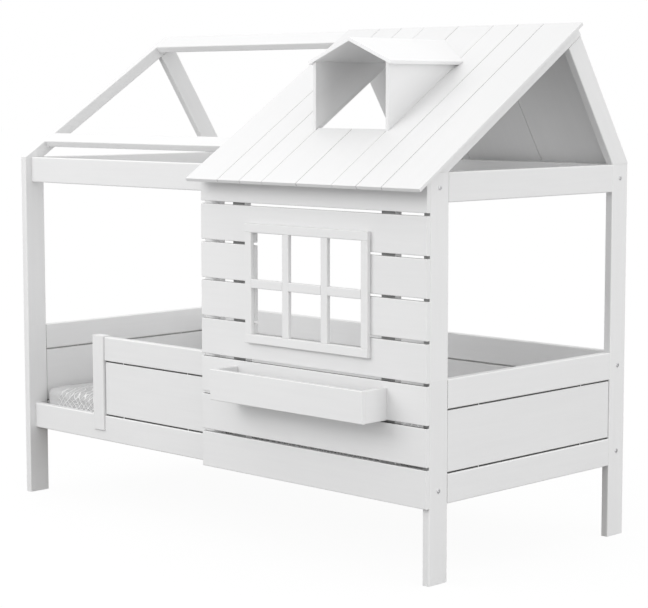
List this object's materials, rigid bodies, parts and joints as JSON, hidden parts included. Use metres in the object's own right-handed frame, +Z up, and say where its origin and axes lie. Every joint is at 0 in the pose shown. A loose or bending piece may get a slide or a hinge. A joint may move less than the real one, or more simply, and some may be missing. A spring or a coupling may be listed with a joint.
{
  "type": "house frame bed",
  "caption": "White wooden children's bed built as a small house: panelled bed box, gabled frame, boarded front with window, planter box and dormer roof.",
  "frame": {"origin": "on the floor, under the middle of the bed's whole outline", "axes": "+X along the bed towards the foot end with the house front, +Y from the front to the back, +Z up"},
  "size_m": [2.1072, 1.146, 1.7572],
  "materials": {
    "white_lacquer": "white lacquer over fine-grained wood, satin",
    "white_roof_lacquer": "white lacquer over thin roof boards, satin",
    "bare_wood": "plain planed softwood",
    "mattress_cover": "quilted woven cover",
    "bolt_metal": "grey zinc-plated bolt heads"
  },
  "bodies": {
    "bed_frame": {"back_bottom_rail": "white_lacquer", "back_panel": "white_lacquer", "back_top_rail": "white_lacquer", "dormer_cheek_left": "white_lacquer", "dormer_cheek_right": "white_lacquer", "dormer_roof_left": "white_lacquer", "dormer_roof_right": "white_lacquer", "foot_bottom_rail": "white_lacquer", "foot_panel": "white_lacquer", "foot_top_rail": "white_lacquer", "frame_bolts": "bolt_metal", "front_side_rail": "white_lacquer", "front_stile": "white_lacquer", "gable_tie_left": "white_lacquer", "gable_tie_right": "white_lacquer", "guard_end_post": "white_lacquer", "guard_panel": "white_lacquer", "guard_top_rail": "white_lacquer", "head_bottom_rail": "white_lacquer", "head_panel": "white_lacquer", "head_top_rail": "white_lacquer", "planter_bottom": "white_lacquer", "planter_ends": "white_lacquer", "planter_front": "white_lacquer", "post_back_left_lower": "white_lacquer", "post_back_left_upper": "white_lacquer", "post_back_right_lower": "white_lacquer", "post_back_right_upper": "white_lacquer", "post_front_left_lower": "white_lacquer", "post_front_left_upper": "white_lacquer", "post_front_right_lower": "white_lacquer", "post_front_right_upper": "white_lacquer", "purlin": "white_lacquer", "rafter_back_left": "white_lacquer", "rafter_back_right": "white_lacquer", "rafter_front_left": "white_lacquer", "rafter_front_right": "white_lacquer", "ridge_board": "white_lacquer", "roof_back_boards": "white_roof_lacquer", "roof_back_cleat": "white_roof_lacquer", "roof_boards_dormer": "white_roof_lacquer", "roof_boards_left": "white_roof_lacquer", "roof_boards_right": "white_roof_lacquer", "slat_ledgers": "bare_wood", "slats": "bare_wood", "top_beam_back": "white_lacquer", "top_beam_front": "white_lacquer", "wall_batten_left": "white_lacquer", "wall_batten_right": "white_lacquer", "wall_plank_1": "white_lacquer", "wall_plank_2": "white_lacquer", "wall_plank_3": "white_lacquer", "wall_plank_4": "white_lacquer", "wall_plank_5": "white_lacquer", "wall_plank_6": "white_lacquer", "wall_plank_7": "white_lacquer", "wall_plank_8": "white_lacquer", "window_bars": "white_lacquer", "window_frame": "white_lacquer"},
    "mattress": {"mattress": "mattress_cover"}
  },
  "joints": [
    {"name": "mattress_lift", "type": "slide", "parent": "bed_frame", "child": "mattress", "axis": [0, 0, 1], "range_m": [0, 0.45]}
  ]
}
